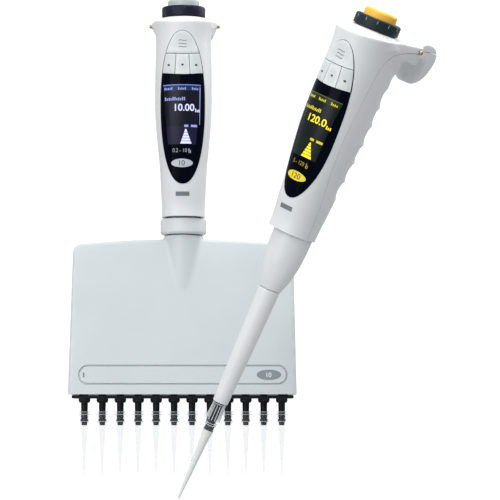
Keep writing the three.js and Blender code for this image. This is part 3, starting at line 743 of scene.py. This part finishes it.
def figures(text, x0, x1, z0, z1, bold=0.0):
    """Figures fitted to a box in the front view."""
    bpy.ops.object.select_all(action="DESELECT")
    bpy.ops.object.text_add()
    bpy.context.object.data.body = text
    bpy.context.object.data.offset = bold
    bpy.ops.object.convert(target="MESH")
    flat = named("figures")
    xs, ys = [[v.co[i] for v in flat.data.vertices] for i in (0, 1)]
    wide, tall = (x1 - x0) / (max(xs) - min(xs)), (z1 - z0) / (max(ys) - min(ys))
    move = Matrix.Translation((x0 - min(xs) * wide, -45, z0 - min(ys) * tall))
    flat.data.transform(move @ Matrix.Rotation(math.pi / 2, 4, "X") @ Matrix.Diagonal((wide, tall, 1, 1)))
    with editing(flat) as mesh:
        bpy.ops.mesh.select_all(action="SELECT")
        bpy.ops.mesh.remove_doubles(threshold=0.001)
        bpy.ops.mesh.extrude_region_move(TRANSFORM_OT_translate={"value": (0, 40, 0)})
        bpy.ops.mesh.select_all(action="SELECT")
        bpy.ops.mesh.normals_make_consistent(inside=False)
    return [flat]


# %% [markdown]
# The display. A bright header band, a word, one large figure, two small icons and a striped triangle that
# shows the filling state stand on the lit panel. The twelve-channel pipette's display is violet and the
# single one's is yellow. Below the panel the range is printed, then an oval badge with the largest volume.

# %% Display, badge and tag
both = ("multi", "single")
LOOK = {
    "multi": {"screen": "screen_navy", "low": "screen_purple", "band": "band_blue", "line": "line_blue",
              "figure": "figure_lilac", "label": "label_lilac", "print": "print_silver",
              "badge": "badge_silver",
              "volume": ("10.00", -3.8, 5.9), "range": ("0.2 - 10", -5.0, 2.2), "size": ("10", -1.7, 1.1)},
    "single": {"screen": "screen_green", "low": "screen_moss", "band": "band_moss", "line": "line_moss",
               "figure": "figure_yellow", "label": "label_yellow", "print": "print_yellow",
               "badge": "badge_yellow",
               "volume": ("120.0", -4.2, 5.9), "range": ("5 - 120", -4.6, 2.0), "size": ("120", -2.6, 2.2)},
}


def screen_edge(z):
    share = (z - 35) / 30
    return -7.3 - 2.4 * share, 6.6 + 2.6 * share


def screen_part(low, high):
    (l0, r0), (l1, r1) = screen_edge(low), screen_edge(high)
    return slab("screen", [(l0, low), (r0, low), (r1, high), (l1, high)], "front", *THROUGH_FRONT)


STRIPES = [(35.5, 36.7), (36.95, 38.1), (38.35, 39.5), (39.75, 40.9), (41.1, 42.7)]  # of the filling triangle


def stripe(low, high, x=1.65, half_width=2.55):
    """A slice of a triangle with its point up."""
    foot, top = STRIPES[0][0], STRIPES[-1][1]
    at_low, at_high = [0.25 + half_width * (top - z) / (top - foot) for z in (low, high)]
    outline = [(x - at_low, low), (x + at_low, low), (x + at_high, high), (x - at_high, high)]
    return slab("stripe", outline, "front", *THROUGH_FRONT)


for pipette, look in LOOK.items():
    one = (pipette,)
    printed("screen", [screen_part(44.2, 61.7)], window_skin, one, look["screen"])
    printed("screen_low", [screen_part(35.2, 44.2)], window_skin, one, look["low"])
    printed("header", [screen_part(61.7, 64.3)], window_skin, one, look["band"])
    printed("header_line", [screen_part(64.3, 64.75)], window_skin, one, look["line"])
    labels = [stroke for x0, x1 in ((-9.0, -4.6), (-2.2, 1.9), (4.7, 8.1))
              for stroke in strokes(x0, x1, 62.1, 63.4)]
    printed("labels", labels, ink_skin, one, look["label"])
    printed("word", strokes(-8.8, 1.9, 56.8, 58.5, 0.95), ink_skin, one, look["label"])
    printed("volume", figures(*look["volume"], 51.6, 55.1, 0.016), ink_skin, one, look["figure"])
    printed("unit", strokes(6.3, 8.4, 51.1, 52.8, 0.8), ink_skin, one, look["figure"])
    printed("icons", [bar(0.9, 2.9, 43.7, 44.8), bar(4.2, 7.2, 43.7, 44.8)], ink_skin, one, look["label"])
    printed("triangle", [stripe(*heights) for heights in STRIPES], ink_skin, one, look["figure"])
    # the range print glows faintly: a painted glow
    printed("range", figures(*look["range"], 31.3, 33.2) + strokes(3.0, 4.3, 30.9, 33.2, 0.7), ink_skin, one,
            look["print"])
    printed("badge", [ellipse(-0.3, 26.0, 5.4, 2.1)], window_skin, one, look["badge"])
    printed("badge_size", figures(*look["size"], 24.8, 27.3), ink_skin, one, "ink_dark")
edge_line = slab("edge", [(8.35, 45), (8.6, 45), (8.95, 63.5), (8.5, 63.5)], "front", *THROUGH_FRONT)
printed("edge_line", [edge_line], ink_skin, ("multi",), "label_lilac")
printed("tag", [bar(-3.5, 3.3, 9.8, 11.9)], shell_skin, both, "tag_grey")


def wave(z, x0=-2.05, x1=2.05, thick=0.36, steps=16):
    xs = [x0 + (x1 - x0) * i / steps for i in range(steps + 1)]
    line = [(x, z + 0.17 * math.sin(math.tau * (x - x0) / (x1 - x0))) for x in xs]
    outline = [(x, v - thick / 2) for x, v in line] + [(x, v + thick / 2) for x, v in reversed(line)]
    return slab("wave", outline, "front", *THROUGH_FRONT)


printed("key_waves", [wave(z) for z in (86.6, 85.0, 83.4)], key_skin, both, "ink_grey", "eject_key")
for side, x in (("left", -6.9), ("middle", 0.0), ("right", 6.8)):
    printed(f"key_dot_{side}", [ellipse(x, 74.5, 0.62, 0.48, 20)], key_skin, both, "ink_dark",
            f"soft_key_{side}")
print("print and display done")

# %% [markdown]
# The head's fittings. The adjustment wheel is a ring with a rounded rim and index marks all round, and the
# operating button is the cap that stands inside it. Both are turned upright and then tilted onto the head.
# The charging contacts are small brass pins that stick out of the wings; they are turned and laid sideways.

# %% Wheel, button and contacts
wheel_section = [(8.6, 2.25), *arc((10.3, 2.85), 0.65, -90, 0, 4), *arc((9.85, 6.5), 1.1, 0, 90, 6),
                 (8.9, 7.6), (8.6, 7.4)]
wheel = turned("adjustment_wheel", wheel_section, 96, closed=True)
bpy.ops.object.select_all(action="DESELECT")
bpy.ops.mesh.primitive_cube_add(size=1, location=(0, -10.94, 6.0), scale=(0.16, 0.12, 1.4))
mark = apply_place(named("mark"))
index_marks = joined("wheel_marks", around(mark, 12))
index_marks.data.transform(Matrix.Rotation(math.radians(33), 4, "Z"))
cap_section = [(0, 0.75), (7.9, 0.75), *arc((6.6, 9.9), 1.3, 0, 90, 7), (5.6, 11.14), (3, 11.08), (0, 11.05)]
cap = turned("operating_button", cap_section, 80)
pin_section = [(0, 12), (1.0, 12), (1.0, 17.4), *arc((0.6, 17.7), 0.4, 0, 90, 4), (0, 18.1)]
pin = turned("charging_contact_right", pin_section, 24)
pin.data.transform(Matrix.Translation((0, 11, 99.8)) @ Matrix.Rotation(math.pi / 2, 4, "Y"))
left_pin = copy_of(pin, "charging_contact_left")
left_pin.data.transform(Matrix.Rotation(math.pi, 4, "Z") @ Matrix.Translation((0, -22, 0)))
settle_on_both(on_head(wheel), wheel.name, {"multi": "navy_wheel", "single": "slate_wheel"})
settle_on_both(on_head(cap), cap.name, {"multi": "pale_button", "single": "yellow_button"})
settle_on_both(on_head(index_marks), "adjustment_wheel", {"multi": "navy_mark", "single": "light_mark"},
               replace=False)
for piece in (pin, left_pin):
    settle_on_both(piece, piece.name, "brass_contact")

# %% [markdown]
# The twelve-channel block. It is a flat wedge, deeper at the bottom, with an arched top and round corners,
# in two covers that meet edge to edge. A cone for the coupling runs down its front and fades out. A shallow
# groove in the shape of a stadium frames the foot of the front cover.

# %% Block covers
BLOCK = {"top": -11.1, "shoulder": -13.4, "bottom": -89, "half_top": 55.3, "half_bottom": 56.9, "corner": 4.0}
DEPTHS = [(4.8, -9), (6.4, -15), (7.6, -22), (8.8, -32), (10.1, -44), (12.0, -64), (14.4, -92)]


def block_form(name, inset, bottom):
    side, radius = BLOCK["half_top"], BLOCK["corner"]
    shoulder = (side - radius - inset, BLOCK["shoulder"] - radius - inset * 0.6)
    right = [(BLOCK["half_bottom"] - inset, bottom), *arc(shoulder, radius, 0, 90, 8)]
    crown = BLOCK["top"] - inset
    top = eased([(shoulder[0], BLOCK["shoulder"] - inset), (26, crown - 0.5), (0, crown)], 3)[1:-1]
    outline = right + top + [(0, crown)]
    body = slab(name, outline + [(-u, v) for u, v in reversed(outline[:-1])], "front", -20, 20)
    depths = [(d - inset, z) for d, z in eased(DEPTHS, 2)]
    cut(body, slab("depth", mirrored(depths), "side", -60, 60), "INTERSECT")
    return body


block = soften(block_form("block_form", 0, BLOCK["bottom"] - 3), 1.9, 4, 30)
cut(block, turned("neck", [(0, -46), (9.3, -46), (9.9, -9), (0, -9)], 96), "UNION")
modified(block, "REMESH", mode="VOXEL", voxel_size=0.75)
modified(block, "SMOOTH", factor=0.5, iterations=14)
ends = [(-80, BLOCK["bottom"]), (80, BLOCK["bottom"]), (80, -9.0), (-80, -9.0)]
cut(block, slab("ends", ends, "front", -40, 40), "INTERSECT")


def stadium(x, z, half_length, radius):
    right = arc((x + half_length - radius, z), radius, -90, 90, 16)
    left = arc((x - half_length + radius, z), radius, 90, 270, 16)
    return slab("stadium", right + left, "front", -30, -5)


STADIUM = (0.3, -79.4)  # the middle of the groove
channel = stadium(*STADIUM, 52.1, 5.05)
cut(channel, stadium(*STADIUM, 51.1, 4.05))
groove_floor = block_form("groove_floor", 0.9, BLOCK["bottom"] - 3)
cut(channel, groove_floor, keep=True)
before = len(block.data.polygons)
cut(block, channel)
print("groove adds", len(block.data.polygons) - before, "faces")
hollow = block_form("hollow", 2.2, BLOCK["bottom"] - 4)
cut(hollow, turned("neck_bore", [(0, -46), (5.2, -46), (5.2, 0), (0, 0)], 48), "UNION")
cut(block, hollow)
rear_cover = copy_of(block, "multi_block_rear_cover_detail")
front_cover = copy_of(block, "multi_block_front_cover_detail")
bpy.data.objects.remove(block)
for cover, low, high in ((front_cover, -30, -0.12), (rear_cover, 0.12, 30)):
    cut(cover, slab("half", [(-80, -120), (80, -120), (80, 20), (-80, 20)], "front", low, high), "INTERSECT")
print(faces(front_cover), "|", faces(rear_cover))
cover_skin = block_form("cover_skin", -0.04, BLOCK["bottom"] - 3)
inside_skin = block_form("inside_skin", 0.06, BLOCK["bottom"] - 4)
cut(cover_skin, inside_skin)
cut(cover_skin, slab("front_half", [(-80, -88), (80, -88), (80, -70), (-80, -70)], "front", -30, -4),
    "INTERSECT")
badge = ellipse(43.0, -79.4, 6.1, 2.6)
cut(badge, cover_skin, "INTERSECT", keep=True)
size = figures("10", 41.8, 44.2, -80.6, -78.3)[0]
size_skin = copy_of(cover_skin, "size_skin")
size_skin.data.transform(Matrix.Translation((0, -0.05, 0)))
cut(size, size_skin, "INTERSECT", keep=True)
first = figures("1", -49.4, -48.6, -80.7, -78.3)[0]
cut(first, size_skin, "INTERSECT")
bpy.data.objects.remove(cover_skin)
bpy.data.objects.remove(groove_floor)
for piece, name, colour in ((badge, "multi_block_badge", "badge_grey"),
                            (size, "multi_block_size", "size_white"),
                            (first, "multi_block_first", "ink_grey")):
    piece.name = name
    settle(piece, "multi", "multi_block", colour)
settle(front_cover, "multi", "multi_block", "grey_block", ["multi_block_front_cover"], 50)
settle(rear_cover, "multi", "multi_block", "grey_block", ["multi_block_rear_cover"], 50)

# %% [markdown]
# The coupling ring, the cones and the ejector comb. The ring lets the block swivel under the handle and has
# one index line. The twelve black cones carry a seal each, and the comb that pushes the tips off has a
# collar round every cone. One cone and one collar are modelled, and copied along the row at a pitch of 9 mm.

# %% Ring, cones and comb
ring_section = [(5.2, -8.7), (9.9, -8.7), *arc((10.0, -7.1), 1.6, -90, 0, 6),
                *arc((10.8, -1.5), 0.8, 0, 90, 5), (7.2, -0.7), (7.2, 8), (5.2, 8)]
ring = turned("multi_coupling_ring_detail", ring_section, 96, closed=True)
bpy.ops.object.select_all(action="DESELECT")
bpy.ops.mesh.primitive_cube_add(size=1, location=(0, -11.6, -3.6), scale=(0.3, 0.12, 3.4))
ring_line = apply_place(named("multi_ring_line"))
ring_line.data.transform(Matrix.Rotation(math.radians(-44), 4, "Z"))
CHANNEL_X = [(i - 5.5) * 9 for i in range(12)]


def along_row(piece):
    copies = []
    for x in CHANNEL_X:
        copies.append(copy_of(piece, piece.name))
        copies[-1].data.transform(Matrix.Translation((x, 0, 0)))
    bpy.data.objects.remove(piece)
    return copies


def box(name, half_x, half_y, low, high, x=0.0, y=0.0):
    bpy.ops.object.select_all(action="DESELECT")
    bpy.ops.mesh.primitive_cube_add(size=2, location=(x, y, (low + high) / 2),
                                    scale=(half_x, half_y, (high - low) / 2))
    return apply_place(named(name))


cone_section = [(0.85, -83), (1.85, -83), (1.8, -92), (1.62, -99.4), (1.75, -99.8), (1.75, -100.3),
                (1.6, -100.5), (1.6, -101.2), (2.0, -101.5), (2.0, -102.1), (1.55, -102.4), (1.3, -104.2),
                (1.15, -104.4), (0.85, -104.4)]
cone = turned("cone", cone_section, 28, closed=True)
cone_bar = soften(box("cone_bar", 53.6, 9, -84, -79), 0.4, 2)
for bore in along_row(turned("bore", [(0, -90), (0.85, -90), (0.85, -70), (0, -70)], 20)):
    cut(cone_bar, bore)
cones = joined("multi_cone_bar_detail", [*along_row(cone), cone_bar])
collar_profile = [(2.15, -90.6), (2.95, -90.6), (2.95, -92.4), (2.7, -92.5), (2.6, -93.05), (2.15, -93.1)]
comb_bar = soften(box("comb_bar", 55.4, 7.5, -91, -89.3), 0.45, 2)
for bore in along_row(turned("bore", [(0, -95), (2.12, -95), (2.12, -85), (0, -85)], 28)):
    cut(comb_bar, bore)
posts = []
for side in (-1, 1):
    posts.append(turned("post", [(0, -90), (1.1, -90), (1.1, -68), (0, -68)], 20))
    posts[-1].data.transform(Matrix.Translation((side * 51.5, 5.5, 0)))
collars = along_row(turned("collar", collar_profile, 28, closed=True))
comb = joined("multi_ejector_comb_detail", [*collars, *posts, comb_bar])
settle(ring, "multi", body_of("multi_coupling_ring"), "ring_white", ["multi_coupling_ring"])
settle(ring_line, "multi", body_of("multi_coupling_ring"), "pale_key")
settle(cones, "multi", body_of("multi_cone_bar"), "black_plastic", ["multi_cone_bar"])
settle(comb, "multi", body_of("multi_ejector_comb"), "black_plastic", ["multi_ejector_comb"])

# %% [markdown]
# The small tips are clear polypropylene, pushed onto the cones. Each has a stiff rim with a step below it,
# and then runs down thin to an opening of half a millimetre.

# %% Small tips
outside = [(2.25, -97.5), *arc((2.75, -97.7), 0.2, 90, 0, 2), (2.95, -99), (2.65, -99.6), (2.5, -102.5),
           (2.1, -105), (1.65, -110), (0.95, -120.7), (0.42, -129.1)]
inside = [(0.24, -129.1), (0.65, -120.7), (1.3, -110), (1.7, -105), (2.15, -102.5), (2.3, -99.6)]
small = turned("small_tip", outside + inside, 32, closed=True)


# thin pale bands at each tip's rim and step, in the tip_glint finish: painted glints on the clear plastic
def glint_band(radius, z, depth, height, sides):
    section = [(radius - depth, z), (radius, z), (radius, z + height), (radius - depth, z + height)]
    return turned("rim", section, sides, closed=True)


rims = [glint_band(radius, z, 0.3, 0.22, 24) for radius, z in ((3.0, -97.8), (2.99, -99.1), (2.58, -102.6))]
small_glint_rings = joined("multi_tip_rims", along_row(joined("rims", rims)))
settle(small_glint_rings, "multi", "multi_tips", "tip_glint")
for i, tip in enumerate(along_row(small)):
    tip.name = f"multi_tip_{i + 1:02d}_detail"
    settle(tip, "multi", "multi_tips", "clear_tip", [f"multi_tip_{i + 1:02d}"])

# %% [markdown]
# The single nozzle's end. A bullet-shaped barrel hands over to the slim ejector sleeve, out of which the
# dark tip cone looks. The tip has a clear, ribbed collar, sits over a black seal and is frosted below.

# %% Barrel, sleeve, nozzle and tip
# each section runs down the outside and back up the inside
bullet = eased([(9.3, -0.3), (9.5, -0.9), (9.45, -6), (8.95, -13.6), (7.7, -20.7), (6.3, -25.4),
                (5.35, -28.1)], 4)
barrel_bore = [(5.1, -28.3), (4.4, -28.3), (4.4, -24), (5.6, -20), (7.3, -12), (7.7, -7), (6.1, -6), (6.1, 8)]
barrel = turned("single_barrel_detail", [(7.2, 8), (7.2, -0.3), *bullet, *barrel_bore], 96, closed=True)
taper = eased([(5.15, -30), (4.9, -42), (4.35, -66), (3.7, -86.5)], 4)
sleeve_section = [(4.1, -14), (4.1, -28.6), (5.0, -28.6), (5.2, -28.9), *taper, (3.55, -86.9), (2.9, -86.9),
                  (3.5, -66), (3.5, -28), (3.5, -14)]
sleeve = turned("single_ejector_sleeve_detail", sleeve_section, 64, closed=True)
nozzle_section = [(1.4, -9), (7.3, -9), (7.3, -10.8), (3.1, -10.8), (3.1, -66), (2.45, -84), (2.3, -88),
                  (1.8, -96.6), (1.8, -97.2), (1.55, -97.5), (1.55, -101.2), (1.4, -102.4), (0.7, -102.4),
                  (0.7, -80), (1.4, -78)]
nozzle = turned("single_nozzle_detail", nozzle_section, 48, closed=True)
seal_section = [(1.6, -98.9), (2.1, -98.9), (2.22, -99.2), (2.22, -99.8), (2.0, -100), (2.22, -100.2),
                (2.22, -100.9), (2.1, -101.15), (1.6, -101.15)]
seal = turned("single_nozzle_seal_detail", seal_section, 48, closed=True)
collar_outside = [(2.75, -87.4), (3.2, -87.4), (3.3, -87.6), (3.25, -90), (2.9, -93.5), (2.62, -97),
                  (2.75, -97.3), (2.75, -97.9), (2.6, -98.2), (2.72, -98.5), (2.6, -98.9), (2.6, -101.4)]
collar_inside = [(2.34, -101.4), (2.34, -97), (2.5, -93.5), (2.7, -90)]
tip_collar = turned("single_tip_collar", collar_outside + collar_inside, 64, closed=True)
frosted_section = [(2.34, -101.4), (2.6, -101.4), (2.5, -102.4), (2.1, -105), (1.06, -127), (0.5, -137.2),
                   (0.27, -137.3), (0.7, -127), (1.7, -105), (2.2, -102.4)]
frosted = turned("single_tip_detail", frosted_section, 64, closed=True)
# the collar's ribs are pale, and four thin pale bands ring it: painted glints on the clear collar
rib = box("rib", 0.12, 0.28, -96.0, -88.2, y=-2.95)
rib_top = Matrix.Translation((0, -2.95, -88))
rib.data.transform(rib_top @ Matrix.Rotation(math.radians(-3.5), 4, "X") @ rib_top.inverted())
tip_ribs = joined("single_tip_ribs", around(rib, 14))
for piece, node, slot in ((barrel, "single_barrel", "white_shell"),
                          (sleeve, "single_ejector_sleeve", "white_shell"),
                          (nozzle, "single_nozzle", "black_plastic"),
                          (seal, "single_nozzle_seal", "seal_black"),
                          (frosted, "single_tip", "frosted_tip")):
    settle(piece, "single", body_of(node), slot, [node])
settle(tip_collar, "single", body_of("single_tip"), "clear_tip")
settle(tip_ribs, "single", body_of("single_tip"), "tip_glint")
TIP_GLINTS = [(3.3, -87.8), (2.8, -97.8), (2.78, -98.75), (2.66, -101.5)]  # radius and height of each
tip_glint_rings = joined("single_tip_rims", [glint_band(radius, z, 0.25, 0.28, 48) for radius, z in TIP_GLINTS])
settle(tip_glint_rings, "single", body_of("single_tip"), "tip_glint")

# %% [markdown]
# Camera, floor and light. The camera stands 1.1 m away and a little below the handles, which hang in
# mid-air, with a long lens that keeps the sides parallel. Floor and backdrop are plain and pale, and large
# soft lights leave only faint shading on the white casings.

# %% Camera, floor and light
DISTANCE = 1.10
LOOK_UP = math.radians(4.5)
LENS = 156.9
AIM = PLACE["multi"] @ Vector((33.6, 0, -16.2))
bpy.ops.object.camera_add(location=AIM - DISTANCE * Vector((0, math.cos(LOOK_UP), math.sin(LOOK_UP))))
camera = named("camera")
camera.rotation_euler = (math.pi / 2 + LOOK_UP, 0, 0)
camera.data.sensor_width = 36
camera.data.lens = LENS
bpy.context.scene.camera = camera

FLOOR = -0.55
bpy.ops.mesh.primitive_plane_add(size=8, location=(0, 0, FLOOR))
floor = named("floor")
floor.data.materials.append(finish("studio_floor", (0.42, 0.425, 0.43), (0.40, 0.405, 0.41), 0.85, clouds=3,
                                   grain=60))
bpy.context.scene.view_settings.view_transform = "Standard"


def studio_sky(low, high, backdrop):
    """A sky that is brighter overhead, and white where a lit backdrop hangs behind the set."""
    world = bpy.data.worlds.new("studio")
    bpy.context.scene.world = world
    world.use_nodes = True
    nodes, links = world.node_tree.nodes, world.node_tree.links
    facing = nodes.new("ShaderNodeSeparateXYZ")
    links.new(nodes.new("ShaderNodeTexCoord").outputs["Generated"], facing.inputs[0])
    levels = []
    for axis, start, end, to_low, to_high in (("Z", -0.1, 0.9, low, high), ("Y", 0.90, 0.98, 0.0, backdrop)):
        level = nodes.new("ShaderNodeMapRange")
        for socket, number in zip(("From Min", "From Max", "To Min", "To Max"),
                                  (start, end, to_low, to_high)):
            level.inputs[socket].default_value = number
        links.new(facing.outputs[axis], level.inputs["Value"])
        levels.append(level.outputs["Result"])
    total = nodes.new("ShaderNodeMath")
    links.new(levels[0], total.inputs[0])
    links.new(levels[1], total.inputs[1])
    nodes["Background"].inputs["Color"].default_value = (0.97, 0.985, 1.0, 1)
    links.new(total.outputs[0], nodes["Background"].inputs["Strength"])


def soft_light(name, place, aim, size, watts):
    bpy.ops.object.light_add(type="AREA", location=place)
    lamp = named(name)
    lamp.data.size = size
    lamp.data.energy = watts
    lamp.rotation_euler = (Vector(aim) - Vector(place)).to_track_quat("-Z", "Y").to_euler()
    return lamp


MIDDLE = (0.03, -0.04, -0.10)
studio_sky(0.50, 0.95, 0.62)
soft_light("top_light", (0.25, -0.30, 0.95), MIDDLE, 0.7, 9)
soft_light("key_light", (-0.42, -0.80, 0.10), (0.02, -0.03, -0.14), 0.7, 4.2)
soft_light("rim_light", (0.70, 0.30, 0.35), MIDDLE, 0.5, 2.6)

for leftover in (handle, window_skin, ink_skin, key_skin, shell_skin):
    bpy.data.objects.remove(leftover)
